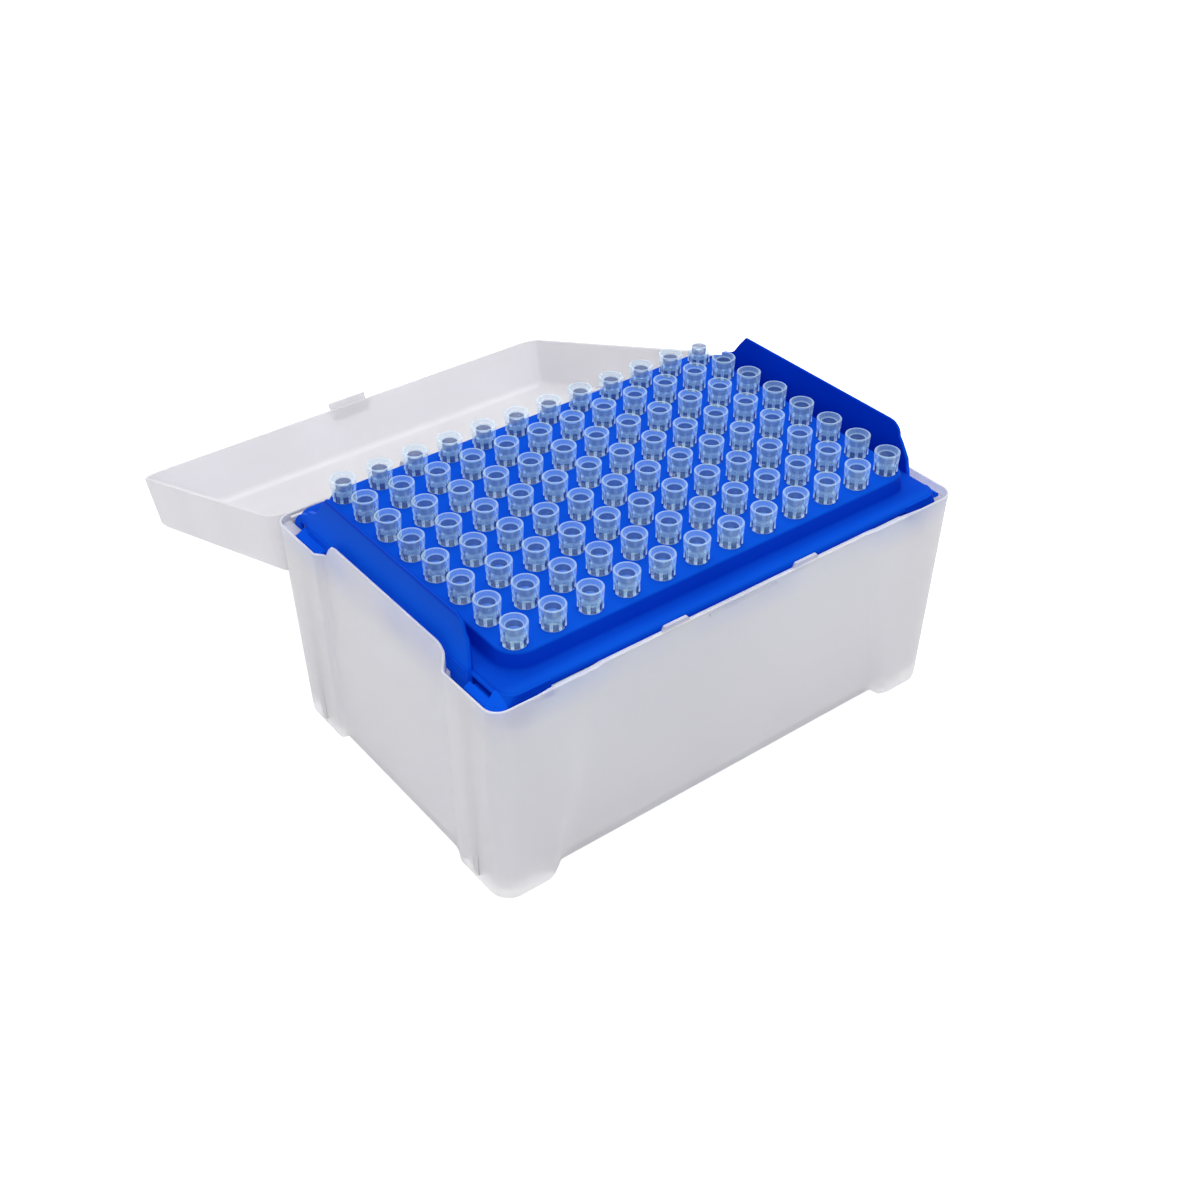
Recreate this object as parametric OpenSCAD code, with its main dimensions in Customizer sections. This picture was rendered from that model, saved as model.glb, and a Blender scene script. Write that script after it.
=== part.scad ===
// Box of pipette tips: a frosted base, a hinged lid that stands open behind it,
// a blue rack that drops into the base, and clear tips hanging in the rack.
// Millimetres. The origin is the middle of the footprint, on the bench;
// X runs along the long side, Y runs to the hinge at the back, Z is up.

/* [Tip grid] */
// Distance between neighbouring tips, a laboratory standard
pitch = 9; // [9:1:9]
// Tips along the box, one column for each
columns = 12; // [8:1:12]
// Tips in each column, front to back
rows = 8; // [4:1:8]

/* [Tip] */
// Length of a tip from rim to point
tip_length = 45; // [32:1:55]
// Height of the tip rims above the bench
tip_rim_z = 62.3; // [61.5:0.1:62.6]
// Radius of the smooth collar at the top
collar_r = 2.8; // [2.7:0.05:3.1]
// Height of the collar
collar_h = 2.3; // [1.5:0.1:3]
// Radius of the bore that takes the pipette
mouth_r = 1.7; // [1.5:0.05:1.8]
// Depth of that bore
mouth_h = 7; // [4:0.5:10]
// Ribs under the collar
rib_count = 8; // [6:2:12]

/* [Rack] */
// Height of the deck's top face
deck_z = 57.3; // [56.5:0.1:58]
// Length of the raised deck
deck_l = 107.4; // [107:0.2:108]
// Width of the raised deck
deck_w = 71.4; // [71:0.2:73]
// Height of the flange around the deck
flange_z = 53.2; // [53:0.1:54]
// Top of the two end wings
wing_z = 64.2; // [60:0.1:64.5]

/* [Base] */
// Length at the rim, over the corner pillars
base_l = 124; // [123.6:0.2:124.4]
// Width at the rim, over the corner pillars
base_w = 83.6; // [83.4:0.1:83.8]
// Height of the rim
rim_z = 51.8; // [51.4:0.1:51.9]
// How much narrower the base is at the foot, all round
base_draft = 1.1; // [0.8:0.1:1.4]
// Wall thickness of base, lid and rack
wall = 1.2; // [1:0.1:1.3]
// Gap between the floor and the bench, cut between the feet
foot_h = 1.8; // [1:0.1:2.5]
// Top of the raised panel in each end wall
panel_z = 56.2; // [54:0.1:57]

/* [Lid] */
// Outside height of the lid
lid_h = 14.6; // [14.1:0.1:15]
// Angle the lid is open by
open_angle = 200.2; // [0:0.1:200.2]

/* [Hidden] */
function column_name(i) = str("tips_column_", i < 10 ? "0" : "", i);
smooth = 48;
touch = 0.01;

// Grid: the middle of the first column and the first row
grid_x = -(columns - 1) / 2 * pitch;
grid_y = -(rows - 1) / 2 * pitch;

// Tip
tip_hole_r = 2.45;
rib_r = tip_hole_r + 0.2;
rib_w = 0.5;
shank_r = 2.3;
rim_lead_r = 2.35;
rim_lead_h = 0.9;
point_r = 0.45;
point_bore_r = 0.22;
shoulder_h = tip_rim_z - deck_z;

// Base: outer half sizes at rim and foot, and the planes of the sunk wall panels
rim_x = base_l / 2;
rim_y = base_w / 2;
foot_x = rim_x - base_draft;
foot_y = rim_y - base_draft - 0.2;
rim_corner = 3.8;
lip = 0.6;
lip_h = 2;
foot_corner = 4.8;
long_panel_rim = rim_y - 0.5;
long_panel_foot = foot_y - 1.8;
end_panel_rim = rim_x - 1.55;
end_panel_foot = foot_x - 0.7;
long_crease_top = 36.5;
long_crease_foot = 47;
end_crease_top = 23.4;
end_crease_foot = 24;
panel_front = 24.4;
panel_back = 21.9;
panel_round = 4.2;
crease_start = 5;
tab_x = 14;
tab_l = 7;
tab_rise = 1.1;
tab_w = 0.75;
tab_inset = 0.75;
tab_slope = 0.6;
bead_l = 18;
bead_h = 0.5;
bead_z = rim_z - 1;
bead_out = 0.45;
bead_root = 0.6;
bead_slope = 0.2;
feet_wall = 5.6;
feet_slope = 2;
feet_corner = 3;
rib_start = 30;
rib_l = 2;
rib_reach = 2.6;
end_rib_x = rim_x - wall + 0.4;

// Rack: skirt, end ledges and the side outline of a wing
deck_corner = 5.5;
plate = 1.6;
flange_t = flange_z - rim_z;
flange_x = 58;
flange_front = -40.4;
flange_back = 39.6;
flange_corner = 4;
skirt_x = 57.2;
skirt_y = 39.3;
skirt_corner = 4.5;
skirt_bottom = 43.3;
skirt_side_bottom = 50.2;
ledge_x = 60.4;
ledge_z = 51.7;
ledge_tip_z = 50.4;
ledge_front = [-38.3, -29.6];
ledge_back = [24.9, 34.8];
corner_gap = lip + 0.2;
corner_r = rim_corner - corner_gap;
corner_z = 50.6;
corner_top = 51.5;
corner_side = 47.5;
corner_end = 37.2;
wing_x = 57.4;
wing_t = 1.5;
wing_top = 0.6;
wing_flare = 2.5;
ear_t = 0.8;
wing_foot = 49.8;
wing_low = 47.6;
wing_heel = -19.5;
wing_corner = 3.2;
wing_front = -28.8;
wing_back = 32;
wing_lean = 1.4;
ear_y = 35.2;
ear_z = 51;
ear_drop = 3;
ear_root = 30;
ear_hole_r = 1.4;
ear_web = 2;

// Lid: rim rectangle, top rectangle and the latch tongue
lid_gap = 0.1;
lid_z = rim_z + lid_gap;
lid_x = 62.1;
lid_front = -41.75;
lid_back = 41.4;
lid_taper = 0.8;
lid_slant = 4.3;
lid_corner = 4.8;
lid_edge = 3;
tongue_l = 11;
tongue_drop = 1.6;
tongue_t = 1;
tongue_y = lid_front - 0.15;
tongue_root = 0.4;
tongue_rise = 3.4;
pocket_clear = 0.4;

// Hinge: its axis runs along the outside of the back rim
hinge_y = 41.95;
hinge_z = 51.73;
hinge_x = 25;
rod_r = 1.15;
rod_clear = 0.05;
knuckle_r = 2.1;
knuckle_l = 4;
cheek_r = 1.8;
cheek_t = 1.6;
swing_clear = 0.3;
snap_w = 1.8;

// A rectangle with round corners, from its low and high corners
module rounded(lo, hi, r) {
    translate([lo.x + r, lo.y]) square([hi.x - lo.x - 2 * r, hi.y - lo.y]);
    translate([lo.x, lo.y + r]) square([hi.x - lo.x, hi.y - lo.y - 2 * r]);
    for (x = [lo.x + r, hi.x - r], y = [lo.y + r, hi.y - r])
        translate([x, y]) circle(r, $fn = smooth);
}

// A straight slab of that rectangle between two heights
module slab(lo, hi, r, z0, z1)
    translate([0, 0, z0]) linear_extrude(z1 - z0) rounded(lo, hi, r);

// A hollow frame of that slab, its wall t thick
module frame(lo, hi, r, t, z0, z1)
    translate([0, 0, z0]) linear_extrude(z1 - z0) difference() {
        rounded(lo, hi, r);
        rounded(lo + [t, t], hi - [t, t], r - t);
    }

// A prism along X or Y from its outline in (Y, Z) or (X, Z)
module along_x(x0, x1, outline)
    translate([x0, 0, 0]) rotate([90, 0, 90]) linear_extrude(x1 - x0) polygon(outline);
module along_y(y0, y1, outline)
    translate([0, y1, 0]) rotate([90, 0, 0]) linear_extrude(y1 - y0) polygon(outline);

// The same shape on both sides of a mirror plane
module both_sides(axis) {
    children();
    mirror(axis) children();
}

// ---- Base ----

// What is cut from a long wall between its pillars; inset moves it inwards for the inside face
module long_recess(inset) {
    top = panel_z + 1;
    rise = (long_panel_rim - long_panel_foot) / rim_z;
    intersection() {
        along_x(-rim_x, rim_x, [
            [-long_panel_foot + inset + rise, -1],
            [-long_panel_rim + inset - rise * (top - rim_z), top],
            [-rim_y - 2, top],
            [-rim_y - 2, -1]
        ]);
        along_y(-rim_y - 1, 0, [
            [-long_crease_foot - inset, -1],
            [long_crease_foot + inset, -1],
            [long_crease_top + inset, rim_z - crease_start],
            [long_crease_top + inset, top],
            [-long_crease_top - inset, top],
            [-long_crease_top - inset, rim_z - crease_start]
        ]);
    }
}

// The same for an end wall
module end_recess(inset) {
    top = panel_z + 1;
    rise = (end_panel_rim - end_panel_foot) / rim_z;
    intersection() {
        along_y(-rim_y, rim_y, [
            [-end_panel_foot + inset + rise, -1],
            [-end_panel_rim + inset - rise * (top - rim_z), top],
            [-rim_x - 2, top],
            [-rim_x - 2, -1]
        ]);
        along_x(-rim_x - 1, 0, [
            [-end_crease_foot - inset, -1],
            [end_crease_foot + inset, -1],
            [end_crease_top + inset, rim_z - crease_start],
            [end_crease_top + inset, top],
            [-end_crease_top - inset, top],
            [-end_crease_top - inset, rim_z - crease_start]
        ]);
    }
}

// The drafted body with its four sunk panels, shrunk by inset all round
module tub(inset, z0, z1) {
    difference() {
        hull() {
            tub_slice(inset, z0);
            tub_slice(inset, z1);
        }
        both_sides([0, 1, 0]) long_recess(inset);
        both_sides([1, 0, 0]) end_recess(inset);
    }
}

// A thin level slice of the drafted body at height z
module tub_slice(inset, z) {
    t = z / rim_z;
    x = foot_x + (rim_x - foot_x) * t - inset;
    y = foot_y + (rim_y - foot_y) * t - inset;
    r = foot_corner + (rim_corner - foot_corner) * t - inset;
    slab([-x, -y], [x, y], r, z - touch, z);
}

// The raised middle of an end wall, as thin as the lip, over which the lid closes
module raised_panel() {
    shoulder = [for (t = [0:0.25:1]) [t * panel_round, (panel_z - rim_z) * (1 - pow(1 - t, 2))]];
    along_x(-end_panel_rim, -end_panel_rim + lip, concat(
        [[-panel_front, rim_z - 1], [panel_back, rim_z - 1]],
        [for (i = [0:4]) [panel_back - shoulder[i].x, rim_z + shoulder[i].y]],
        [for (i = [4:-1:0]) [-panel_front + shoulder[i].x, rim_z + shoulder[i].y]]
    ));
}

// A small tab on the front rim that centres the lid
module rim_tab()
    along_y(-rim_y + tab_inset, -rim_y + tab_inset + tab_w, [
        [tab_x, rim_z - 1],
        [tab_x + tab_l, rim_z - 1],
        [tab_x + tab_l, rim_z],
        [tab_x + tab_l - tab_slope, rim_z + tab_rise],
        [tab_x + tab_slope, rim_z + tab_rise],
        [tab_x, rim_z]
    ]);

// The bead on the front wall that the lid's tongue slips over
module latch_bead()
    along_x(-bead_l / 2, bead_l / 2, [
        [-long_panel_rim + bead_root, bead_z - bead_h],
        [-long_panel_rim - bead_out + bead_slope, bead_z - bead_h],
        [-long_panel_rim - bead_out, bead_z],
        [-long_panel_rim + bead_slope, bead_z + bead_h],
        [-long_panel_rim + bead_root, bead_z + bead_h]
    ]);

// An upright rib inside an end wall, on which the rack's ledge rests
module rack_rib()
    translate([-end_rib_x, rib_start, foot_h + touch])
        cube([rib_reach, rib_l, wing_foot - foot_h - touch]);

// A cylinder along the hinge axis, from x0 to x1
module on_axis(x0, x1, r)
    translate([x0, hinge_y, hinge_z]) rotate([0, 90, 0])
        cylinder(h = x1 - x0, r = r, $fn = smooth);

// The feet: what is cut away under the floor and between the corners
module under_floor() {
    hollow = [foot_x - feet_wall, foot_y - feet_wall];
    slab(-hollow, hollow, feet_corner, -1, foot_h);
    along_y(-rim_y, rim_y, [
        [-long_crease_foot, -touch],
        [long_crease_foot, -touch],
        [long_crease_foot - feet_slope, foot_h],
        [-long_crease_foot + feet_slope, foot_h]
    ]);
    along_x(-rim_x, rim_x, [
        [-end_crease_foot, -touch],
        [end_crease_foot, -touch],
        [end_crease_foot - feet_slope, foot_h],
        [-end_crease_foot + feet_slope, foot_h]
    ]);
}

// One hinge bracket of the base: a rod held between two cheeks
module rod_bracket(x) {
    reach = knuckle_l / 2 + swing_clear;
    on_axis(x - reach - cheek_t, x - reach, cheek_r);
    on_axis(x + reach, x + reach + cheek_t, cheek_r);
    on_axis(x - reach - touch, x + reach + touch, rod_r);
}

// What is cut inside the rim of the end walls and pillars, so that only a thin lip is left
module end_rabbet()
    difference() {
        tub(lip, rim_z - lip_h, rim_z + touch);
        translate([-corner_side, -rim_y - 1, 0])
            cube([2 * corner_side, 2 * rim_y + 2, rim_z + 1]);
    }

module base() {
    color([0.83, 0.83, 0.85]) {
        difference() {
            union() {
                tub(0, touch, rim_z);
                both_sides([1, 0, 0]) raised_panel();
            }
            tub(wall, foot_h + wall, rim_z + touch);
            end_rabbet();
            under_floor();
            for (x = [-hinge_x, hinge_x])
                on_axis(x - knuckle_l / 2 - swing_clear, x + knuckle_l / 2 + swing_clear,
                        knuckle_r + swing_clear);
        }
        both_sides([1, 0, 0]) rim_tab();
        latch_bead();
        both_sides([1, 0, 0]) both_sides([0, 1, 0]) rack_rib();
        for (x = [-hinge_x, hinge_x]) rod_bracket(x);
    }
}

// ---- Rack ----

// One end wing: a plate with a rounded front corner that thins upwards, and an ear behind it;
// its front edge runs forward by flare down to the foot
module wing(flare) {
    arc = [for (a = [90:15:180]) [
        wing_front + wing_lean + wing_corner * (1 + cos(a)),
        wing_z - wing_corner * (1 - sin(a))
    ]];
    intersection() {
        along_x(-wing_x - wing_t, -wing_x, concat(arc, [
            [wing_front + 0.5, 59.8],
            [wing_front - 0.55 * flare, 56.4],
            [wing_front - flare, wing_foot],
            [wing_back, wing_foot],
            [wing_back, 57],
            [29.3, 57.9],
            [27.6, 59.2],
            [25.9, 61.6],
            [23.8, wing_z]
        ]));
        along_y(wing_front - flare - 1, wing_back + 1, [
            [-wing_x - wing_t, wing_foot - touch],
            [-wing_x - wing_top, wing_z + touch],
            [-wing_x + 1, wing_z + touch],
            [-wing_x + 1, wing_foot - touch]
        ]);
    }
    along_x(-wing_x - wing_t, -skirt_x + wall, [
        [wing_front, wing_low],
        [wing_heel, wing_low],
        [wing_heel, wing_foot],
        [wing_back, wing_foot],
        [wing_back, flange_z],
        [wing_front, flange_z]
    ]);
    difference() {
        along_x(-wing_x - ear_t, -wing_x, [
            [ear_root, wing_foot - ear_drop],
            [38.3, wing_foot - ear_drop],
            [39.7, 48.2],
            [39.5, 50],
            [38.7, 51.7],
            [37.2, 53.4],
            [35.1, 54.8],
            [32.6, 55.8],
            [ear_root, 56.5]
        ]);
        translate([-wing_x - ear_t - 1, ear_y, ear_z]) rotate([0, 90, 0])
            cylinder(h = ear_t + 2, r = ear_hole_r, $fn = smooth);
    }
    translate([-wing_x - touch, wing_back, wing_foot - ear_drop])
        cube([wing_x - skirt_x + wall, ear_web, flange_z - wing_foot + ear_drop]);
}

// A ledge outside the flange that rests on a rib of the base, over a span of an end wall
module end_ledge(span)
    along_y(span[0], span[1], [
        [-ledge_x, wing_foot],
        [-ledge_x, ledge_tip_z],
        [-flange_x, ledge_z],
        [-skirt_x + wall, ledge_z],
        [-skirt_x + wall, wing_foot]
    ]);

// What slopes down outside the front left corner of the flange, as far as the lip of the rim
module corner_slope()
    intersection() {
        hull() {
            slab([-rim_x + corner_gap, -rim_y + corner_gap], [0, 0], corner_r,
                 wing_foot + touch, corner_z);
            slab([-flange_x + touch, flange_front + touch], [0, 0], flange_corner,
                 flange_z - 2 * touch, flange_z - touch);
        }
        along_x(-rim_x, -corner_side, [
            [-rim_y, wing_foot],
            [-rim_y, corner_z],
            [-rim_y + corner_gap, corner_z],
            [flange_front + touch, corner_top],
            [flange_front + touch, flange_z],
            [-corner_end, flange_z],
            [-corner_end, wing_foot]
        ]);
    }

// The skirt round the rack: low at the two ends, short along the sides
module skirt()
    difference() {
        frame([-skirt_x, -skirt_y], [skirt_x, skirt_y], skirt_corner, wall,
              skirt_bottom, rim_z + touch);
        translate([-skirt_x + skirt_corner, -rim_y, skirt_bottom - 1])
            cube([2 * (skirt_x - skirt_corner), 2 * rim_y, skirt_side_bottom - skirt_bottom + 1]);
    }

module rack() {
    deck_lo = [-deck_l / 2, -deck_w / 2];
    deck_hi = [deck_l / 2, deck_w / 2];
    flange_lo = [-flange_x, flange_front];
    flange_hi = [flange_x, flange_back];
    color([0.01, 0.29, 0.80]) {
        difference() {
            slab(deck_lo, deck_hi, deck_corner, deck_z - plate, deck_z);
            for (i = [0:columns - 1], j = [0:rows - 1])
                translate([grid_x + i * pitch, grid_y + j * pitch, deck_z - plate - 1])
                    cylinder(h = plate + 2, r = tip_hole_r, $fn = smooth);
        }
        frame(deck_lo, deck_hi, deck_corner, wall, rim_z, deck_z);
        difference() {
            slab(flange_lo, flange_hi, flange_corner, rim_z, flange_z);
            slab(deck_lo + [1, 1] * wall, deck_hi - [1, 1] * wall, deck_corner - wall,
                 rim_z - 1, flange_z + 1);
        }
        skirt();
        wing(0);
        mirror([1, 0, 0]) wing(wing_flare);
        both_sides([1, 0, 0]) {
            end_ledge(ledge_front);
            end_ledge(ledge_back);
        }
        corner_slope();
    }
}

// ---- Lid ----

// The solid outline of the closed lid, shrunk by inset: an upright rim below a rounded top
module lid_block(inset) {
    r = max(lid_edge - inset, 0.5);
    top = lid_z + lid_h - inset - r;
    x = lid_x - lid_taper - inset - r;
    hull() {
        slab([-lid_x + inset, lid_front + inset], [lid_x - inset, lid_back - inset],
             lid_corner - inset, lid_z - (inset > 0 ? touch : 0), lid_z + 0.5);
        for (sx = [-x, x], y = [lid_front + lid_taper + inset + r, lid_back - lid_slant - inset - r])
            translate([sx, y, top]) sphere(r, $fn = 32);
    }
}

// The latch: a tongue that hangs in front of the rim when the lid is shut
module tongue() {
    translate([-tongue_l / 2, tongue_y - tongue_t, lid_z - tongue_drop])
        cube([tongue_l, tongue_t, tongue_drop + tongue_rise]);
    translate([-tongue_l / 2, tongue_y - tongue_t, lid_z + tongue_root])
        cube([tongue_l, tongue_t + wall, tongue_rise - tongue_root]);
}

// Room inside the front rim for one tab of the base
module tab_pocket()
    translate([tab_x - pocket_clear, -rim_y + tab_inset - 0.15, lid_z - 1])
        cube([tab_l + 2 * pocket_clear, 2, tab_rise + 1 + 0.3]);

// The knuckle that snaps over one rod, open downwards
module knuckle(x)
    difference() {
        on_axis(x - knuckle_l / 2, x + knuckle_l / 2, knuckle_r);
        on_axis(x - knuckle_l, x + knuckle_l, rod_r + rod_clear);
        translate([x - knuckle_l, hinge_y - snap_w / 2, hinge_z - 3])
            cube([2 * knuckle_l, snap_w, 3]);
    }

module lid_shut() {
    reach = knuckle_l / 2 + swing_clear + cheek_t + swing_clear;
    difference() {
        lid_block(0);
        lid_block(wall);
        both_sides([1, 0, 0]) tab_pocket();
        for (x = [-hinge_x, hinge_x]) {
            on_axis(x - reach, x - knuckle_l / 2, cheek_r + swing_clear);
            on_axis(x + knuckle_l / 2, x + reach, cheek_r + swing_clear);
            on_axis(x - reach, x + reach, rod_r + rod_clear);
        }
    }
    tongue();
    for (x = [-hinge_x, hinge_x]) knuckle(x);
}

module lid()
    color([0.87, 0.87, 0.89])
        translate([0, hinge_y, hinge_z]) rotate([-open_angle, 0, 0])
            translate([0, -hinge_y, -hinge_z]) lid_shut();

// ---- Tips ----

// One clear tip, its rim at z = 0: a collar and ribs over a long hollow cone
module tip() {
    bore_end = rim_lead_h + mouth_h;
    rotate_extrude($fn = smooth) polygon([
        [rim_lead_r, 0],
        [collar_r, 0],
        [collar_r - 0.1, -collar_h],
        [shank_r, -collar_h - 0.25],
        [shank_r, -shoulder_h - 0.5],
        [shank_r - 0.15, -bore_end - 2],
        [point_r, -tip_length],
        [point_bore_r, -tip_length],
        [mouth_r - 0.3, -bore_end - 2],
        [mouth_r, -bore_end],
        [mouth_r, -rim_lead_h]
    ]);
    translate([0, 0, -shoulder_h]) linear_extrude(shoulder_h - collar_h) difference() {
        for (a = [0:360 / rib_count:179])
            rotate(a) square([2 * rib_r, rib_w], center = true);
        circle(shank_r - 0.2, $fn = smooth);
    }
}

// One column of separate tips, the row a multi-channel pipette picks up
module tip_column(i)
    color([0.78, 0.82, 0.92])
        for (j = [0:rows - 1])
            translate([grid_x + (i - 1) * pitch, grid_y + j * pitch, tip_rim_z]) tip();

base();
rack();
lid();
for (i = [1:columns]) tip_column(i);
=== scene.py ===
# %% [markdown]
# # A box of pipette tips
#
# The object is a frosted plastic box with its lid swung open behind it. A blue
# rack drops into the box, and ninety-six clear tips hang in the rack by their
# ribs. Everything is thin moulded plastic, so the looks depend on three things:
# soft edges, walls that glow a little, and clean reflections on the clear tips.
#
# The script first loads the measured frame, then makes each piece as a surface
# worked out with numpy, then gives it a finish, and at last sets up the studio.

import bmesh
import bpy
import numpy as np
from mathutils import Matrix, Vector


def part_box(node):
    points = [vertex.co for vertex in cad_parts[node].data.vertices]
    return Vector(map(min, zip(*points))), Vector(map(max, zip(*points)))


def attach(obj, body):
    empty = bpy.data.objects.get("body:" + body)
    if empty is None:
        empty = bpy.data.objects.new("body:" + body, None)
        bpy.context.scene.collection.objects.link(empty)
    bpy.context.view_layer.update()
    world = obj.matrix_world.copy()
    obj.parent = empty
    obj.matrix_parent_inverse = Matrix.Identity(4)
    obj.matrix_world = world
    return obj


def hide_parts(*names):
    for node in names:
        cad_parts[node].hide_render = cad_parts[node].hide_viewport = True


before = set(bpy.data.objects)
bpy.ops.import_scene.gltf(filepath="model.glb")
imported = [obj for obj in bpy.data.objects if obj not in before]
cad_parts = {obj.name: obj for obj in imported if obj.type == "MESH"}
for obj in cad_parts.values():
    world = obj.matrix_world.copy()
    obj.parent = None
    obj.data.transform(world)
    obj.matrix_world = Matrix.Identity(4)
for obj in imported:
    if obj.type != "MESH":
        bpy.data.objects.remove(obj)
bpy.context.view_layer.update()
MM = 0.001
for name in ("base", "rack", "lid", "tips_column_01"):
    low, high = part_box(name)
    print(name, [round(v / MM, 2) for v in (*low, *high)], "mm")

# %% [markdown]
# ## Grids of points
#
# Moulded walls are long smooth surfaces, so a grid of points with quads between
# them describes them well. Modelling them by hand with extrusions would also
# work, but a formula keeps both sides of a wall parallel. The class below
# gathers several grids into one closed mesh. Which way a grid runs decides which
# way its faces look, so at the end all faces are turned outwards together.


# %% A shape gathered from grids
class Shape:
    """Points in millimetres with the faces between them, gathered grid by grid."""

    def __init__(self):
        self.points, self.quads, self.triangles, self.ngons, self.count = [], [], [], [], 0

    def grid(self, points):
        """Adds rows x columns points; each quad joins neighbours in both directions,
        and the last column joins the first. Gives back the point numbers."""
        rows, columns = points.shape[:2]
        index = self.count + np.arange(rows * columns).reshape(rows, columns)
        self.points.append(points.reshape(-1, 3))
        self.count += rows * columns
        ring = np.concatenate([index, index[:, :1]], axis=1)
        corners = [ring[:-1, :-1], ring[:-1, 1:], ring[1:, 1:], ring[1:, :-1]]
        self.quads.append(np.stack(corners, axis=-1).reshape(-1, 4))
        return index

    def fan(self, ring, centre):
        """Closes a ring of point numbers with triangles to one centre point."""
        self.points.append(np.array(centre, float).reshape(1, 3))
        middle = np.full(len(ring), self.count)
        self.count += 1
        self.triangles.append(np.stack([ring, np.roll(ring, -1), middle], axis=-1))

    def close(self, index):
        """Closes the first and the last ring of a grid with one flat face each."""
        self.ngons += [index[0].tolist(), index[-1][::-1].tolist()]

    def build(self, name, weld=1e-4, move=None):
        """One mesh object in metres: doubles closer than weld millimetres are merged,
        and move, if given, carries the points from one place to another first."""
        points = np.concatenate(self.points)
        if move is not None:
            points = move(points)
        faces = np.concatenate(self.quads).tolist()
        if self.triangles:
            faces += np.concatenate(self.triangles).tolist()
        faces += self.ngons
        mesh = bpy.data.meshes.new(name)
        mesh.from_pydata((points * MM).tolist(), [], faces)
        piece = bpy.data.objects.new(name, mesh)
        bpy.context.scene.collection.objects.link(piece)
        tidy_mesh(mesh, weld * MM)
        print(f"{name}: {len(mesh.vertices)} points, {len(mesh.polygons)} faces")
        return piece


def tidy_mesh(mesh, weld, crease=32):
    """Merges doubles, turns every face outwards, and shades smooth up to a crease angle."""
    work = bmesh.new()
    work.from_mesh(mesh)
    bmesh.ops.remove_doubles(work, verts=work.verts, dist=weld)
    bmesh.ops.dissolve_degenerate(work, dist=weld / 10, edges=work.edges)
    bmesh.ops.recalc_face_normals(work, faces=work.faces)
    work.to_mesh(mesh)
    work.free()
    mesh.shade_smooth()
    mesh.set_sharp_from_angle(angle=np.radians(crease))


# %% [markdown]
# ## A ring of stations round a rounded rectangle
#
# Box, lid and rack all follow a rectangle with round corners that changes a
# little with height. Each station on such a ring is a fraction along a side or
# an angle in a corner. The same stations then fit every height and every wall
# thickness, so the grid lines run straight up the wall.


# %% Rounded rectangle from stations
def corner_ring(sides, ends, steps):
    """Stations of a rounded rectangle, from the middle of the +X side and round to the left.

    sides and ends are rising fractions from 0 (middle of a side) to 1 (start of the
    corner), for the two long sides and the two ends. Gives four columns: the place on
    the inner rectangle as fractions of its half sizes, and the outward direction."""
    angle = np.radians(np.linspace(0, 90, steps + 1)[1:-1])
    one = np.ones_like
    end = np.stack([one(ends), ends, one(ends), 0 * ends], -1)
    arc = np.stack([one(angle), one(angle), np.cos(angle), np.sin(angle)], -1)
    side = np.stack([sides, one(sides), 0 * sides, one(sides)], -1)[::-1]
    quarter = np.concatenate([end, arc, side])
    left = quarter[::-1][1:] * [-1, 1, -1, 1]
    half = np.concatenate([quarter, left])
    return np.concatenate([half, half[::-1][1:-1] * [1, -1, 1, -1]])


def ring_at(stations, x, y_front, y_back, r):
    """The ring for half length x, from y_front to y_back, with corners of radius r:
    the inner rectangle's point plus r times the outward direction."""
    middle, half = (y_front + y_back) / 2, (y_back - y_front) / 2
    return np.column_stack([
        stations[:, 0] * (x - r) + stations[:, 2] * r,
        middle + stations[:, 1] * (half - r) + stations[:, 3] * r,
    ])


def at_level(plan, z):
    """A plan of (x, y) points lifted to level z, one number or one per point."""
    return np.column_stack([plan, np.broadcast_to(z, len(plan))])


def blend_rings(share, one, other):
    """A ring between two rings, point by point: one where share is 0, other where it is 1."""
    return one + share[:, None] * (other - one)


def ease(t):
    """0 below 0, 1 above 1, and a smooth S between: 3t^2 - 2t^3."""
    t = np.clip(t, 0, 1)
    return t * t * (3 - 2 * t)


# %% [markdown]
# ## The base
#
# The base is one injection-moulded tub. Its four corners are pillars that lean
# slightly inwards to the foot, and between them each wall is sunk, so a soft
# crease runs down beside each pillar. The end walls rise above the rim in the
# middle. I carry one profile round the ring: under the foot, up the outside,
# over the rim, down the inside and across the floor. Rim height, foot height
# and the sunk depth are functions of the place along the ring.

# %% Sizes of the base, in millimetres
RIM_Z, FOOT_H, WALL = 51.8, 1.8, 1.2
RIM_X, RIM_Y, FOOT_X, FOOT_Y = 62.0, 41.8, 60.9, 40.5
RIM_R, FOOT_R, SHARPEST_R = 3.8, 4.8, 0.4
LIP, LIP_H, LIP_FROM, LIP_FADE = 0.6, 2.0, 46.8, 1.0
# The hinge line behind the back rim, with a hinge to each side, and the rim's notch there
HINGE_X, HINGE_Y, HINGE_Z, NOTCH_HALF, NOTCH_H = 25.0, 41.95, 51.73, 2.4, 2.4
# The raised middle of each end wall
PANEL_Z, PANEL_FRONT, PANEL_BACK, PANEL_ROUND = 56.2, 24.4, 21.9, 4.2
# The sunk panels of ends and sides: half width and depth, each at the top and at the foot
END_HALF, SIDE_HALF = (23.6, 24.0), (36.5, 47.0)
END_DEPTH, SIDE_DEPTH = (1.55, 0.70), (0.50, 1.80)
# Their creases: where they turn upright, half width, and how far the inner ones stand out
CREASE_TOP_Z, END_CREASE_W, SIDE_CREASE_W, INNER_SHIFT = 46.8, 1.2, 2.6, 0.6
# The least flat that is left between a panel and the round corner
END_PILLAR, SIDE_PILLAR = 3.0, 4.0
print("base", 2 * RIM_X, "by", 2 * RIM_Y, "by", RIM_Z, "mm, walls", WALL, "mm")


def crease_half(z, half):
    """Half width of a sunk panel at height z: straight from foot to top, then upright."""
    top, foot = half
    return foot + (top - foot) * np.clip(z / CREASE_TOP_Z, 0, 1)


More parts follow.
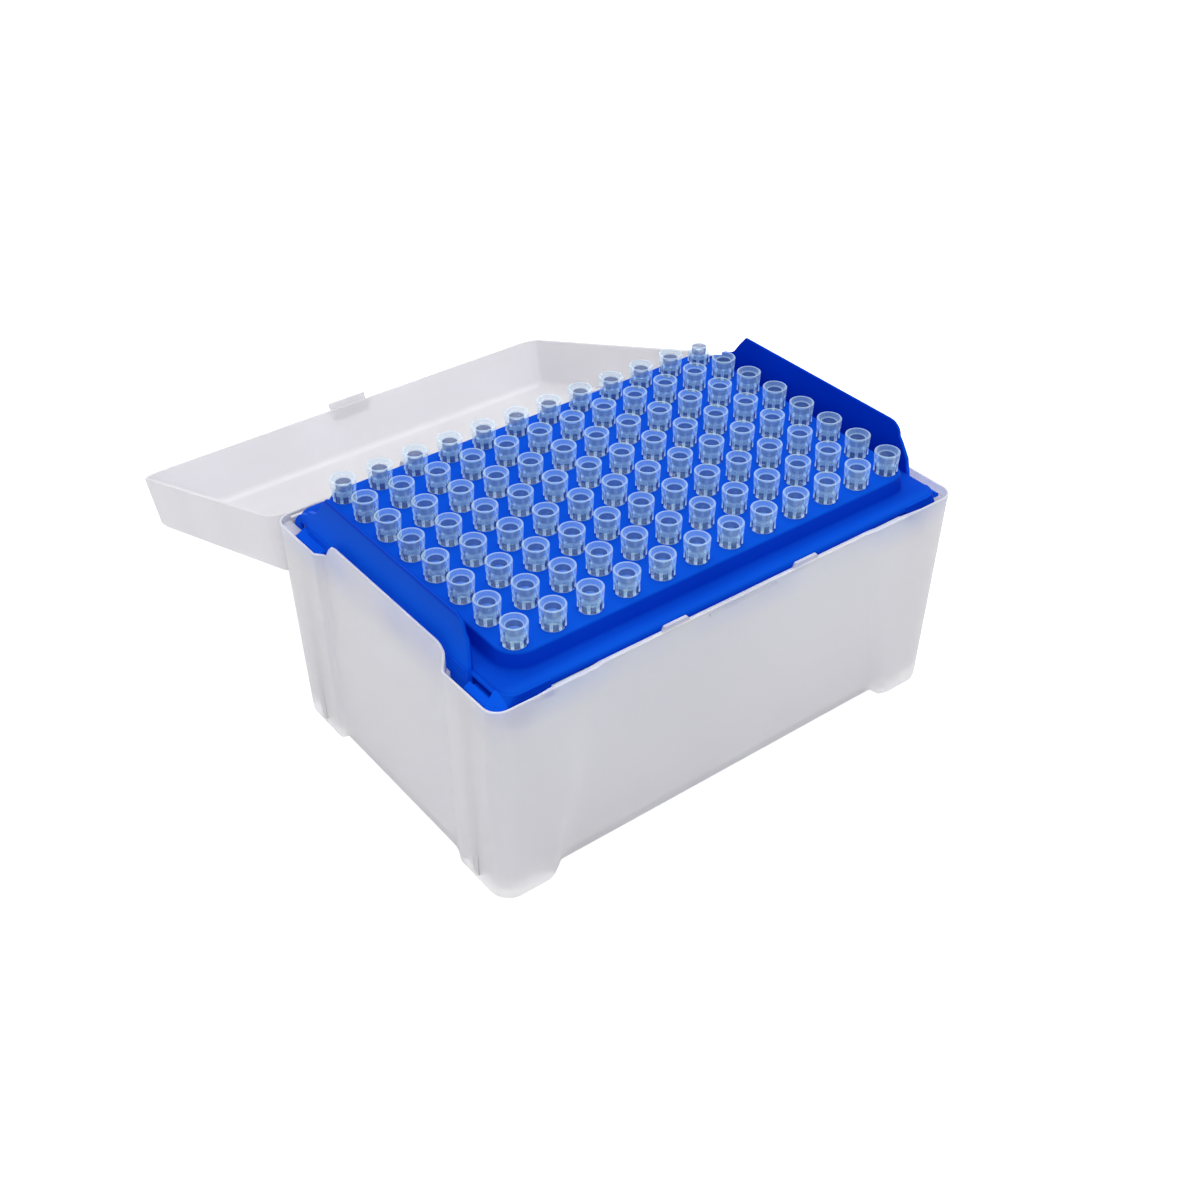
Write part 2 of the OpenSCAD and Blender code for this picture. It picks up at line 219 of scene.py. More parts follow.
# Fractions along a side: the panel with its hinge notch, then the crease, then the pillar
panel_part = np.array([0, 0.12, 0.25, 0.38, 0.5, 0.6356, 0.6412, 0.7712, 0.7768,
                       0.85, 0.91, 0.955, 0.98])
crease_part = np.linspace(-1, 1, 9)
pillar_part = np.array([0.3, 0.65, 1.0])
n_panel, n_crease = len(panel_part), len(crease_part)
n_side = n_panel + n_crease + len(pillar_part)
even = np.linspace(0, 1, n_side)
tub_stations = corner_ring(even, even, steps=12)
is_end = np.abs(tub_stations[:, 2]) == 1
is_side = np.abs(tub_stations[:, 3]) == 1
along_end = np.round(np.abs(tub_stations[:, 1]) * (n_side - 1)).astype(int)
along_side = np.round(np.abs(tub_stations[:, 0]) * (n_side - 1)).astype(int)


def side_stations(half, reach, wide):
    """Distances from a wall's middle for one height: the panel up to its crease at
    half, the crease band about it, and the pillar on to reach, where the corner starts."""
    panel, crease = panel_part * (half - wide), half + crease_part * wide
    pillar = half + wide + pillar_part * (reach - half - wide)
    return np.concatenate([panel, crease, pillar])


def tub_ring(z, inset, height):
    """One ring of the tub at level z (a number or one per station), moved in by inset.

    The outline is a rounded rectangle that grows from foot to rim. On each wall the
    stations follow the crease at that height, and the sunk depth fades out across the
    crease band: outline minus depth times ease."""
    t = np.clip(height / RIM_Z, 0, 1)
    x = FOOT_X + (RIM_X - FOOT_X) * t - inset
    y = FOOT_Y + (RIM_Y - FOOT_Y) * t - inset
    r = max(FOOT_R + (RIM_R - FOOT_R) * t - inset, SHARPEST_R)
    shift = INNER_SHIFT * min(inset, WALL)
    end_half = min(crease_half(height, END_HALF) + shift, y - r - END_PILLAR)
    side_half = min(crease_half(height, SIDE_HALF) + shift, x - r - SIDE_PILLAR)
    end_at = side_stations(end_half, y - r, END_CREASE_W)
    side_at = side_stations(side_half, x - r, SIDE_CREASE_W)
    ring = tub_stations.copy()
    ring[is_end, 1] = np.sign(ring[is_end, 1]) * end_at[along_end[is_end]] / (y - r)
    ring[is_side, 0] = np.sign(ring[is_side, 0]) * side_at[along_side[is_side]] / (x - r)
    plan = ring_at(ring, x, -y, y, r)
    last = n_panel + n_crease - 1
    end_depth, side_depth = (foot + (top - foot) * t for top, foot in (END_DEPTH, SIDE_DEPTH))
    plan[:, 0] -= ring[:, 2] * is_end * end_depth * ease((last - along_end) / (n_crease - 1))
    plan[:, 1] -= ring[:, 3] * is_side * side_depth * ease((last - along_side) / (n_crease - 1))
    return at_level(plan, z)


# %% Rim height and foot height along the ring
rim_ring, foot_ring = tub_ring(RIM_Z, 0, RIM_Z), tub_ring(0, 0, 0)
panel_end = np.where(rim_ring[:, 1] < 0, PANEL_FRONT, PANEL_BACK)
up = np.clip((panel_end - np.abs(rim_ring[:, 1])) / PANEL_ROUND, 0, 1)
rise = is_end * (PANEL_Z - RIM_Z) * (1 - (1 - up) ** 2)
from_hinge = np.abs(np.abs(rim_ring[:, 0]) - HINGE_X)
at_hinge = is_side & (rim_ring[:, 1] > 0) & (from_hinge < NOTCH_HALF)
top_z = RIM_Z + rise - NOTCH_H * at_hinge
# Between the feet the wall stops at FOOT_H, with a slope to each foot
FOOT_SLOPE = 2.0
end_gap, side_gap = END_HALF[1] - np.abs(foot_ring[:, 1]), SIDE_HALF[1] - np.abs(foot_ring[:, 0])
gap = np.where(is_end, end_gap, side_gap)
low_z = np.where(is_end | is_side, FOOT_H * np.clip(gap / FOOT_SLOPE, 0, 1), 0)
print("rim from", top_z.min(), "to", top_z.max(), "mm, wall's foot from", low_z.min(), "to",
      low_z.max(), "mm")

# %% The tub as one closed surface
FOOT_ROUND, RIM_ROUND, FLOOR_ROUND, FOOT_W = 0.6, 0.27, 2.0, 5.2
floor_z = FOOT_H + WALL
step_z = np.minimum(RIM_Z - LIP_H, top_z - 0.6)
quarter_turn = np.radians(np.linspace(0, 90, 5))
# Shares of a wall's height, with one ring where the creases turn upright
levels = np.concatenate([[0.03], np.linspace(0.08, 0.85, 14), [CREASE_TOP_Z / RIM_Z, 0.93, 0.965]])


def wall_rows(start, stop, inset):
    """Rings up one face of the wall, from start to just below stop."""
    span = min(np.min(stop[is_side]), RIM_Z) - np.mean(start)
    return [tub_ring(start + v * (stop - start), inset, np.mean(start) + v * span) for v in levels]


def inner_ring(level, edge, height):
    """The rim's inner face, edge thinner: the lip over pillars and ends, the full wall
    along the sides, and a blend of the two where one turns into the other."""
    full, lip = (tub_ring(level, thick - edge, height) for thick in (WALL, LIP))
    return blend_rings(at_lip, full, lip)


at_lip = np.where(is_side, ease((np.abs(rim_ring[:, 0]) - LIP_FROM) / LIP_FADE), 1)
rows = [
    tub_ring(FOOT_H, FOOT_W + 0.4, 0),
    tub_ring(np.minimum(low_z + 0.02, FOOT_H), FOOT_W + 0.3, 0),
    tub_ring(low_z, FOOT_W, 0),
]
for a in quarter_turn[::-1]:
    rows.append(tub_ring(low_z + FOOT_ROUND * (1 - np.sin(a)), FOOT_ROUND * (1 - np.cos(a)), 0))
rows += wall_rows(low_z + FOOT_ROUND, top_z - RIM_ROUND, 0)
for a in quarter_turn:
    rows.append(tub_ring(top_z - RIM_ROUND * (1 - np.sin(a)), RIM_ROUND * (1 - np.cos(a)), RIM_Z))
for a in quarter_turn[::-1]:
    level = top_z - RIM_ROUND * (1 - np.sin(a))
    rows.append(inner_ring(level, RIM_ROUND * (1 - np.cos(a)), RIM_Z))
for v in (0.3, 0.7, 1.0):
    level = top_z - RIM_ROUND + v * (step_z + RIM_ROUND - top_z)
    rows.append(inner_ring(level, 0, RIM_Z - v * LIP_H))
rows.append(tub_ring(step_z, WALL + 0.01, RIM_Z - LIP_H))
rows += wall_rows(np.full(len(low_z), floor_z + FLOOR_ROUND), step_z, WALL)[::-1]
for a in quarter_turn:
    edge = WALL + FLOOR_ROUND * (1 - np.cos(a))
    rows.append(tub_ring(floor_z + FLOOR_ROUND * (1 - np.sin(a)), edge, 0))
shell = np.stack(rows)
# Times this, a ring becomes four smaller ones at its own level, towards the middle of a floor
shrink = np.array([0.93, 0.7, 0.4, 0.15])[:, None, None] * [1, 1, 0] + [0, 0, 1]
tub = Shape()
index = tub.grid(np.concatenate([shell[:1] * shrink[::-1], shell, shell[-1:] * shrink]))
tub.fan(index[0], [0, 0, FOOT_H])
tub.fan(index[-1], [0, 0, floor_z])
base_shell = tub.build("base_shell")

# %% [markdown]
# ## Small moulded blocks
#
# Tabs, ribs, ledges and wings are all an outline pushed straight through a
# thickness. A real mould never leaves a knife edge on them, so a Bevel modifier
# rounds every edge over one or two tenths of a millimetre. It could be done in the
# formula too, but the modifier treats every outline alike.


# %% Prisms and a pierced plate
def prism(shape, outline, start, stop, axis="x"):
    """An outline in (y, z) pushed from start to stop along x, or one in (x, z) along y; start
    and stop are numbers or one number per point, which slants that end face."""
    outline = np.array(outline, float)
    order = [0, 1, 2] if axis == "x" else [1, 0, 2]
    rings = [np.column_stack([np.broadcast_to(level, len(outline)), outline])
             for level in (start, stop)]
    shape.close(shape.grid(np.stack(rings)[..., order]))


def block(shape, low, high, start, stop):
    """A plain block: the rectangle between the (y, z) points low and high, pushed along x."""
    (y0, z0), (y1, z1) = low, high
    prism(shape, [[y0, z0], [y1, z0], [y1, z1], [y0, z1]], start, stop)


def hole_plate(shape, outline, centre, radius, start, stop):
    """A plate in the y-z plane with a round hole: each ray from the hole's centre meets
    the hole at radius and the outline where it crosses one of its sides."""
    outline, centre = np.array(outline, float), np.array(centre, float)
    angle = np.radians(np.arange(0, 360, 6))
    ray = np.stack([np.cos(angle), np.sin(angle)], -1)[:, None]
    a = (outline - centre)[None]
    side = np.roll(outline, -1, axis=0) - outline
    cross = ray[..., 0] * side[:, 1] - ray[..., 1] * side[:, 0]
    cross = np.where(np.abs(cross) < 1e-9, 1e-9, cross)
    reach = (a[..., 0] * side[:, 1] - a[..., 1] * side[:, 0]) / cross
    share = (a[..., 0] * ray[..., 1] - a[..., 1] * ray[..., 0]) / cross
    hit = np.where((reach > 0) & (share >= -1e-6) & (share <= 1 + 1e-6), reach, np.inf)
    outer = centre + ray[:, 0] * hit.min(axis=1)[:, None]
    inner = centre + ray[:, 0] * radius
    rings = [(outer, start), (outer, stop), (inner, stop), (inner, start), (outer, start)]
    shape.grid(np.stack([np.column_stack([np.full(len(p), x), p]) for p, x in rings]))


# %% Shapes turned about the hinge line, and finishing touches
def about_hinge(x, r, angle):
    """Points at x along the hinge line: y and z are the line's own plus r times the cosine
    and the sine of the angle."""
    return np.stack([x + 0 * angle, HINGE_Y + r * np.cos(angle), HINGE_Z + r * np.sin(angle)], -1)


def hinge_pin(shape, profile, steps=24):
    """A pin turned on the hinge line: radius as a function of x, from (x, radius) pairs."""
    profile = np.array(profile, float)
    angle = np.linspace(0, 2 * np.pi, steps, endpoint=False)
    index = shape.grid(about_hinge(profile[:, :1], profile[:, 1:], angle))
    for end in (0, -1):
        shape.fan(index[end], [profile[end, 0], HINGE_Y, HINGE_Z])


def hinge_arc(shape, x0, x1, r0, r1, start, stop, steps=30):
    """A square bar from x0 to x1 and r0 to r1, carried round an arc about the hinge line."""
    angle = np.radians(np.linspace(start, stop, steps))[:, None]
    x, r = np.array([x0, x1, x1, x0]), np.array([r0, r0, r1, r1])
    shape.close(shape.grid(about_hinge(x, r, angle)))


def both_ends(shape):
    """Adds the mirror image in the plane x = 0 of the whole shape."""
    points, shift = np.concatenate(shape.points) * [-1, 1, 1], shape.count
    shape.points.append(points)
    shape.quads.append(np.concatenate(shape.quads)[:, ::-1] + shift)
    shape.triangles += [t[:, ::-1] + shift for t in shape.triangles]
    shape.ngons += [[n + shift for n in face[::-1]] for face in shape.ngons]
    shape.count += shift


def bevelled(piece, width, segments=3):
    """Rounds every edge of piece over width millimetres, keeping the flats flat."""
    bevel = piece.modifiers.new("moulded edge", "BEVEL")
    bevel.width = width * MM
    bevel.segments = segments
    bevel.limit_method = "ANGLE"
    bevel.angle_limit = np.radians(30)
    bevel.harden_normals = True
    return piece


# %% Fittings of the base
WING_FOOT, RIB_W, RIB_LOW, RIB_INNER, RIB_OUTER = 49.8, 2.0, 2.0, 58.6, 61.2
TAB_FRONT, TAB_BACK, BEAD_HALF = -41.05, -40.3, 9.0
CHEEK_R, CHEEK_W, CHEEK_CHAMFER, ROD_R, ROD_HALF = 1.8, 1.6, 0.25, 1.15, 2.5
fittings = Shape()
# A tab of the front rim, and the ribs on which the rack's wings stand
tab = [[14, 50.8], [21, 50.8], [21, 51.8], [20.4, 52.9], [14.6, 52.9], [14, 51.8]]
prism(fittings, tab, TAB_FRONT, TAB_BACK, axis="y")
for y in (-32, 30):
    block(fittings, (y, RIB_LOW), (y + RIB_W, WING_FOOT), RIB_INNER, RIB_OUTER)
# Two cheeks with the hinge rod between them
for inner in (21.1, 27.3):
    outer, side = inner + CHEEK_W, CHEEK_R - 0.3
    hinge_pin(fittings, [[inner, side], [inner + CHEEK_CHAMFER, CHEEK_R],
                         [outer - CHEEK_CHAMFER, CHEEK_R], [outer, side]])
hinge_pin(fittings, [[HINGE_X - ROD_HALF, ROD_R], [HINGE_X + ROD_HALF, ROD_R]])
# Webs in the back corner, across the end and along the back
block(fittings, (35.0, 49.6), (40.7, 50.4), 58.45, 60.9)
block(fittings, (39.8, 50.3), (40.7, 51.5), 30.0, 58.5)
both_ends(fittings)
# The bead that the latch snaps over
bead = [[-40.7, 50.3], [-41.55, 50.3], [-41.75, 50.8], [-41.1, 51.3], [-40.7, 51.3]]
prism(fittings, bead, -BEAD_HALF, BEAD_HALF)
base_fittings = bevelled(fittings.build("base_fittings"), 0.12, 2)

# %% [markdown]
# ## The lid
#
# The lid is a shallow tray with a rounded top edge. It is worked out shut, as its
# drawing would show it, and then every point is swung about the hinge line to the
# open position, so that both the shut and the open lid fit the hinge.

# %% Sizes of the lid, and its stations
LID_Z, LID_H, LID_EDGE, LID_R = 51.9, 14.6, 3.0, 4.8
LID_X, LID_FRONT, LID_BACK = 62.1, -41.75, 41.4
# How much the walls, the back wall and the corners draw in from the rim to the top
DRAW, BACK_DRAW, R_DRAW = 0.8, 4.3, 1.8
OPEN = np.radians(-200.2)
wall_low, wall_high = LID_Z + 0.5, LID_Z + LID_H - LID_EDGE
# Places along a long side, closer where the notches for the hinge begin and end
lid_sides = np.concatenate([np.linspace(0, 20, 5), [20.6, 20.8, 23, 23.1, 26.9, 27, 29.2, 29.4],
                            np.linspace(32, LID_X - LID_R, 7)]) / (LID_X - LID_R)
lid_stations = corner_ring(lid_sides, np.linspace(0, 1, 9), steps=12)
lid_plan = ring_at(lid_stations, LID_X, LID_FRONT, LID_BACK, LID_R)
near_hinge = np.abs(np.abs(lid_plan[:, 0]) - HINGE_X)
# The back edge has a notch over each hinge: half width and height, at the cheeks and the rod
CHEEK_NOTCH, ROD_NOTCH = (4.25, 1.95), (2.05, 1.1)
at_back = (lid_stations[:, 3] == 1) & (near_hinge < CHEEK_NOTCH[0])
lid_low = LID_Z + at_back * np.where(near_hinge < ROD_NOTCH[0], ROD_NOTCH[1], CHEEK_NOTCH[1])
print("lid", 2 * LID_X, "by", LID_BACK - LID_FRONT, "by", LID_H, "mm")


def lid_ring(z, inset):
    """One ring of the shut lid at level z, moved in by inset: the rim rectangle shrinks in a
    straight line to the top one, and the back wall leans in the most."""
    k = np.clip((np.mean(z) - wall_low) / (wall_high - wall_low), 0, 1)
    r = max(LID_R - R_DRAW * k - inset, 0.3)
    plan = ring_at(lid_stations, LID_X - DRAW * k - inset, LID_FRONT + DRAW * k + inset,
                   LID_BACK - BACK_DRAW * k - inset, r)
    return at_level(plan, z)


def swing_open(points):
    """Turns points about the hinge line by the opening angle."""
    y, z = points[:, 1] - HINGE_Y, points[:, 2] - HINGE_Z
    c, s = np.cos(OPEN), np.sin(OPEN)
    return np.stack([points[:, 0], HINGE_Y + c * y - s * z, HINGE_Z + s * y + c * z], -1)


# %% Lid shell, worked out shut
def lid_face(inset, outwards, steps):
    """Rings up one face of the lid: the round of the rim, the wall, and a quarter turn in
    steps onto the top. outwards is 1 for the outer face and -1 for the inner one."""
    rows = []
    for a in quarter_turn[::-1]:
        edge = inset + outwards * RIM_ROUND * (1 - np.cos(a))
        rows.append(lid_ring(lid_low + RIM_ROUND * (1 - np.sin(a)), edge))
    for v in np.linspace(0.12, 1, 10):
        rows.append(lid_ring(lid_low + RIM_ROUND + v * (wall_high - lid_low - RIM_ROUND), inset))
    r = LID_EDGE - inset
    for a in np.radians(np.linspace(0, 90, steps + 1)[1:]):
        rows.append(lid_ring(wall_high + r * np.sin(a), inset + r * (1 - np.cos(a))))
    return np.stack(rows)


outside, inside = lid_face(0, 1, 8), lid_face(WALL, -1, 6)
lid_tray = Shape()
index = lid_tray.grid(np.concatenate([inside[-1:] * shrink[::-1], inside[::-1],
                                      outside, outside[-1:] * shrink]))
lid_tray.fan(index[0], [0, 0, inside[-1, 0, 2]])
lid_tray.fan(index[-1], [0, 0, outside[-1, 0, 2]])
lid_shell = lid_tray.build("lid_shell", move=swing_open)

# %% Latch tongue and hinge knuckles of the lid
TONGUE_HALF, KNUCKLE_HALF, KNUCKLE_BORE, KNUCKLE_R = 5.5, 2.0, 1.2, 2.1
latch = Shape()
tongue = [[-42.9, 50.3], [-42.9, 55.3], [-41.2, 55.3], [-41.2, 52.3], [-41.9, 52.3], [-41.9, 50.3]]
prism(latch, tongue, -TONGUE_HALF, TONGUE_HALF)
for x in (-HINGE_X, HINGE_X):
    # An open clip: it leaves a gap of 96 degrees, through which it snaps onto the rod
    hinge_arc(latch, x - KNUCKLE_HALF, x + KNUCKLE_HALF, KNUCKLE_BORE, KNUCKLE_R, -42, 222)
lid_latch = bevelled(latch.build("lid_latch", move=swing_open), 0.15, 2)

# %% [markdown]
# ## The rack
#
# The rack is a deck pierced by twelve by eight holes. Round the deck a wall steps
# down to a flange that lies on the rim of the base, and below it a skirt keeps the
# rack in place. Cutting the holes with a Boolean would leave long thin faces, so
# each hole gets its own patch: rings that change from the round hole to the square
# cell about it. The outer cells are fitted to the deck's outline, and the same
# outline then carries the profile of wall, flange and skirt.

# %% Deck with its holes
PITCH, COLUMNS, ROWS = 9.0, 12, 8
DECK_Z, DECK_X, DECK_Y, DECK_R, DRAFT = 57.3, 53.5, 35.5, 5.5, 0.4
PLATE, HOLE_R, EDGE, CELL_STEPS = 1.6, 2.45, 0.6, 8
cell_x, cell_y = COLUMNS * PITCH / 2, ROWS * PITCH / 2


def fit_to_deck(points):
    """Stations for cell points on the outer border: straight sides move straight onto the
    outline, and the two outer sides of a corner cell are spread evenly over its corner."""
    size, sign = np.abs(points), np.where(points < 0, -1.0, 1.0)
    straight_x, straight_y = DECK_X - DECK_R, DECK_Y - DECK_R
    r = DECK_R - EDGE
    corner = (size[:, 0] >= cell_x - PITCH) & (size[:, 1] >= cell_y - PITCH)
    on_top = size[:, 1] >= cell_y - 1e-6
    walk = np.where(on_top, size[:, 0] - (cell_x - PITCH), PITCH + cell_y - size[:, 1])
    before, after = straight_x - (cell_x - PITCH), straight_y - (cell_y - PITCH)
    bend = r * np.pi / 2
    far = walk / (2 * PITCH) * (before + bend + after)
    angle = np.clip((far - before) / bend, 0, 1) * np.pi / 2
    cx = np.where(far < before, cell_x - PITCH + far, straight_x) / straight_x
    cy = np.where(far > before + bend, straight_y - (far - before - bend), straight_y) / straight_y
    cx = np.where(corner, cx, np.where(on_top, size[:, 0] / straight_x, 1))
    cy = np.where(corner, cy, np.where(on_top, 1, size[:, 1] / straight_y))
    nx = np.where(corner, np.sin(angle), np.where(on_top, 0, 1))
    ny = np.where(corner, np.cos(angle), np.where(on_top, 1, 0))
    return np.stack([cx, cy, nx, ny], -1) * np.concatenate([sign, sign], -1)


def box_ring(half_x, half_y, step):
    """Points step apart round a rectangle, one side after the other from the right."""
    up, along = (np.arange(round(2 * half / step)) * step - half for half in (half_y, half_x))
    right, back = np.full(len(up), half_x), np.full(len(along), half_y)
    sides = [[right, up], [-along, back], [-right, -up], [along, -back]]
    return np.concatenate([np.stack(side, -1) for side in sides])


cell_edge = box_ring(PITCH / 2, PITCH / 2, PITCH / CELL_STEPS)
toward = cell_edge / np.linalg.norm(cell_edge, axis=1)[:, None]
# The hole's edge is rounded: how far out and how far down each ring of the rounding lies
hole_round = ((0.36, 0), (0.18, 0), (0.05, 0.05), (0, 0.18), (0, PLATE))
tray = Shape()
for i in range(COLUMNS):
    for j in range(ROWS):
        centre = np.array([(i + 0.5) * PITCH - cell_x, (j + 0.5) * PITCH - cell_y])
        border = centre + cell_edge
        outer = (np.abs(border[:, 0]) > cell_x - 1e-6) | (np.abs(border[:, 1]) > cell_y - 1e-6)
        if outer.any():
            border[outer] = ring_at(fit_to_deck(border[outer]), DECK_X - EDGE,
                                    -(DECK_Y - EDGE), DECK_Y - EDGE, DECK_R - EDGE)
        rows = [at_level(border, DECK_Z)]
        for out, down in hole_round:
            rows.append(at_level(centre + toward * (HOLE_R + out), DECK_Z - down))
        rows.append(at_level(border, DECK_Z - PLATE))
        tray.grid(np.stack(rows))

# %% Deck wall, flange and skirt round the same outline
# Each outline is half length, front, back and corner radius
DECK = (DECK_X, -DECK_Y, DECK_Y, DECK_R)
FLANGE, FLANGE_Z = (58.0, -40.4, 39.6, 4.0), 53.2
SKIRT, SKIRT_LOW, SKIRT_SHORT = (57.2, -39.3, 39.3, 4.5), 43.3, 50.2
FOOT_FILLET, ROLL, SKIRT_ROUND = 0.9, 1.1, 0.3
deck_stations = fit_to_deck(box_ring(cell_x, cell_y, PITCH / CELL_STEPS))
# The skirt hangs low at the two ends and is short along the sides
at_side = (np.abs(deck_stations[:, 3]) == 1) & (np.abs(deck_stations[:, 0]) < 0.99)
skirt_low = np.where(at_side, SKIRT_SHORT, SKIRT_LOW)


def rack_ring(outline, out, z):
    """An outline of the rack moved out by a distance, at level z."""
    x, front, back, r = outline
    return at_level(ring_at(deck_stations, x + out, front - out, back + out, r + out), z)


rows = []
for a in quarter_turn:
    rows.append(rack_ring(DECK, -EDGE * (1 - np.sin(a)), DECK_Z - EDGE * (1 - np.cos(a))))
for a in quarter_turn:
    level = FLANGE_Z + FOOT_FILLET * (1 - np.sin(a))
    rows.append(rack_ring(DECK, DRAFT + FOOT_FILLET * (1 - np.cos(a)), level))
for a in quarter_turn:
    rows.append(rack_ring(FLANGE, -ROLL * (1 - np.sin(a)), FLANGE_Z - ROLL * (1 - np.cos(a))))
rows += [
    rack_ring(FLANGE, 0, RIM_Z + 0.02),
    rack_ring(SKIRT, 0, RIM_Z + 0.02),
    rack_ring(SKIRT, 0, skirt_low + SKIRT_ROUND),
    rack_ring(SKIRT, -SKIRT_ROUND, skirt_low),
    rack_ring(SKIRT, SKIRT_ROUND - WALL, skirt_low),
    rack_ring(SKIRT, -WALL, skirt_low + SKIRT_ROUND),
    rack_ring(SKIRT, -WALL, RIM_Z),
    rack_ring(DECK, -WALL, RIM_Z),
    rack_ring(DECK, -WALL, DECK_Z - PLATE),
    rack_ring(DECK, -EDGE, DECK_Z - PLATE),
]
tray.grid(np.stack(rows))
rack_tray = tray.build("rack_tray", weld=1e-3)

# %% Wings at the two ends of the rack
WING_X, WING_T, WING_TOP, WING_Z, WING_LOW, WING_ROUND = 57.4, 1.5, 0.6, 64.2, 47.6, 3.2
ROOT_FRONT, WING_BACK, WING_HEEL, RACK_END = -28.6, 32.0, -19.5, 56.3
FLARE = 2.5
bend = np.radians(np.linspace(90, 180, 7))
wing_tip = np.stack([WING_ROUND * (1 + np.cos(bend)) - 27.4,
                     WING_Z - WING_ROUND * (1 - np.sin(bend))], -1)


def wing(flare):
    """A wing's outline, its front edge running forward by flare down to the foot, and how far
    out its outer face stands at each point: the plate thins in a straight line upwards."""
    back = [[WING_BACK, WING_FOOT], [WING_BACK, 57.0], [29.3, 57.9], [27.6, 59.2],
            [25.9, 61.6], [23.8, WING_Z]]
    front = [[-28.3, 59.8], [-28.8 - 0.55 * flare, 56.4], [-28.8 - flare, WING_FOOT]]
    outline = np.array(wing_tip.tolist() + front + back)
    up = (outline[:, 1] - WING_FOOT) / (WING_Z - WING_FOOT)
    return outline, WING_X + WING_T - (WING_T - WING_TOP) * up


# %% Ledges and ears beside the wings
EAR_HOLE, EAR_HOLE_R, EAR_T, EAR_LOW = (35.2, 51.0), 1.4, 0.8, 46.8
ends = Shape()
wing_root = [[ROOT_FRONT, WING_LOW], [WING_HEEL, WING_LOW], [WING_HEEL, WING_FOOT],
             [WING_BACK, WING_FOOT], [WING_BACK, 53.0], [ROOT_FRONT, 53.0]]
prism(ends, wing_root, RACK_END, 58.8)
# The front ledge has a groove along the flange, the back one meets it
ledge = [[RACK_END, WING_FOOT], [60.4, WING_FOOT], [60.4, 50.4], [58.0, 51.7], [RACK_END, 51.7]]
groove = [[RACK_END, WING_FOOT], [60.4, WING_FOOT], [60.4, 50.5], [58.85, 51.4], [58.75, 50.1],
          [RACK_END, 50.1]]
prism(ends, groove, -38.3, -29.6, axis="y")
prism(ends, ledge, 24.9, 34.8, axis="y")
ear = [[30, EAR_LOW], [38.3, EAR_LOW], [39.7, 48.2], [39.5, 50.0], [38.7, 51.7], [37.2, 53.4],
       [35.1, 54.8], [32.6, 55.8], [30, 56.5]]
hole_plate(ends, ear, EAR_HOLE, EAR_HOLE_R, WING_X, WING_X + EAR_T)
block(ends, (32, EAR_LOW), (34, 53.1), RACK_END, 57.6)
both_ends(ends)
# The left wing stands straight, the right one flares
outline, face = wing(0)
prism(ends, outline, -face, -WING_X)
outline, face = wing(FLARE)
prism(ends, outline, WING_X, face)

# %% Corner slopes in front, and the ends as one piece
CORNER_X, CORNER_Y, HIGH_R, LOW_R, SLOPE_FRONT = 47.5, -38.5, 3.95, 3.0, -40.42
around = np.radians(np.linspace(0, -90, 13))
bow = np.column_stack([np.cos(around), np.sin(around)])


def corner_outline(x, y, r, outer_y, front, inner):
    """A corner in plan: its end face, an arc of radius r about (x, y), and its inner sides."""
    return np.vstack([[[x + r, outer_y]], [x, y] + r * bow,
                      [[CORNER_X, front], [CORNER_X, CORNER_Y], inner]])


# Outside each front corner of the flange a piece slopes down to the lip: above it has the
# flange's own arc, and below an arc that reaches further out on the left
high = corner_outline(54.0, -36.4, HIGH_R, -36.4, -40.35, (54.0, -36.4))
for low_x, side in ((58.2, -1), (54.95, 1)):
    low = corner_outline(low_x, -38.0, LOW_R, -37.2, -41.0, (54.0, -37.2))
    middle = (low + high) / 2
    middle[:, 1] = np.maximum(middle[:, 1], SLOPE_FRONT)
    slope = [(low, 49.83), (low, 50.6), (middle, 51.7), (high, FLANGE_Z - 0.25)][::side]
    ends.close(ends.grid(np.stack([at_level(p, z) for p, z in slope]) * [side, 1, 1]))
rack_ends = bevelled(ends.build("rack_ends"), 0.22)

# %% [markdown]
# ## The tips
#
# A tip is a turned shape: a collar with a wide mouth, eight ribs under it that sit on
# the deck, and a long hollow cone down to the point. The ribs are the only part that
# isn't round, so the radius is the plain profile plus a small step at eight angles.
# The angles are chosen to fall on the rib edges, which keeps a tip down to forty
# faces round. One object holds a column of eight tips, the row that a
# multi-channel pipette picks up.

# %% One tip
TIP_Z = 62.3
# Angles of one rib and the gap after it: the rib's two edges, then three in the gap
rib_angles = np.array([-5.4, 5.4, 9.5, 22.5, 35.5])
tip_angle = np.radians((np.arange(0, 360, 45)[:, None] + rib_angles).ravel())
on_rib = np.tile([1, 1, 0, 0, 0], 8)
tip_profile = np.array([
    # radius, depth below the rim, rib height
    [1.70, 0.95, 0], [1.80, 0.86, 0], [2.33, 0.12, 0], [2.42, 0.02, 0], [2.52, 0.0, 0],
    [2.68, 0.0, 0], [2.77, 0.04, 0], [2.80, 0.14, 0], [2.72, 2.18, 0], [2.66, 2.28, 0],
    [2.32, 2.42, 0], [2.28, 2.46, 0.36], [2.28, 4.86, 0.36], [2.28, 4.98, 0.20], [2.28, 5.0, 0],
    [2.15, 9.9, 0], [0.5, 44.6, 0], [0.45, 44.9, 0], [0.36, 45.0, 0], [0.24, 44.95, 0],
    [0.22, 44.6, 0], [1.40, 9.9, 0], [1.68, 7.95, 0], [1.70, 7.8, 0], [1.70, 0.95, 0],
])
radius = tip_profile[:, :1] + tip_profile[:, 2:] * on_rib
one_tip = np.stack([radius * np.cos(tip_angle), radius * np.sin(tip_angle),
                    TIP_Z - tip_profile[:, 1:2] + 0 * tip_angle], -1)
print("tip", tip_profile[:, 1].max(), "mm long,", 2 * radius.max(), "mm wide")

